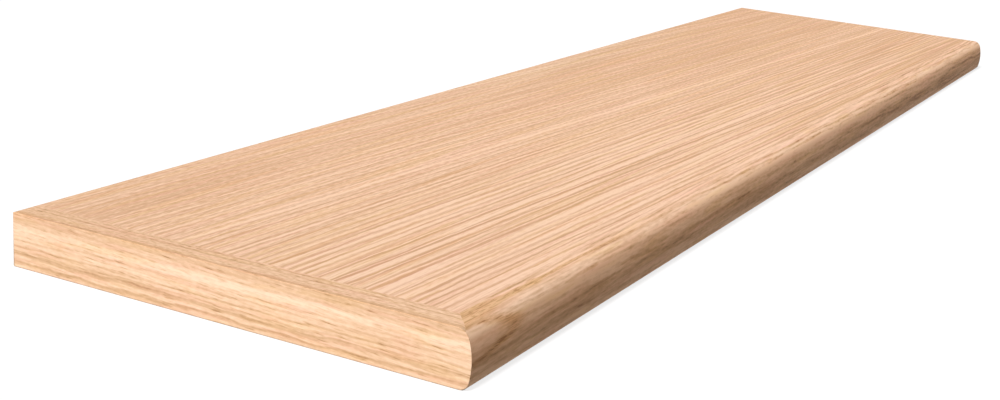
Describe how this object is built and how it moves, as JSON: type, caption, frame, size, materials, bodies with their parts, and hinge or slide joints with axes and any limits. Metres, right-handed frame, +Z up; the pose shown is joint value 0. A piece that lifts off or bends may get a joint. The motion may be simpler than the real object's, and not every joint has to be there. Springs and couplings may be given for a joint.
{
  "type": "stair tread",
  "caption": "Rectangular oak stair tread with a bullnosed front strip, a flat strip mitred to it across the left end, and a square-cut right end.",
  "frame": {"origin": "middle of the underside's bounding rectangle", "axes": "+Z up, +X along the tread from the end strip to the square-cut end, -Y towards the nosing"},
  "size_m": [1.2192, 0.2921, 0.0318],
  "materials": {
    "panel_oak": "unfinished red oak, sanded smooth, straight grain along the tread",
    "nosing_oak": "unfinished red oak, sanded smooth, grain along the nosing",
    "strip_oak": "unfinished red oak, sanded smooth, grain along the strip"
  },
  "bodies": {
    "root": {"tread_panel": "panel_oak", "front_nosing": "nosing_oak", "end_strip": "strip_oak"}
  },
  "joints": []
}
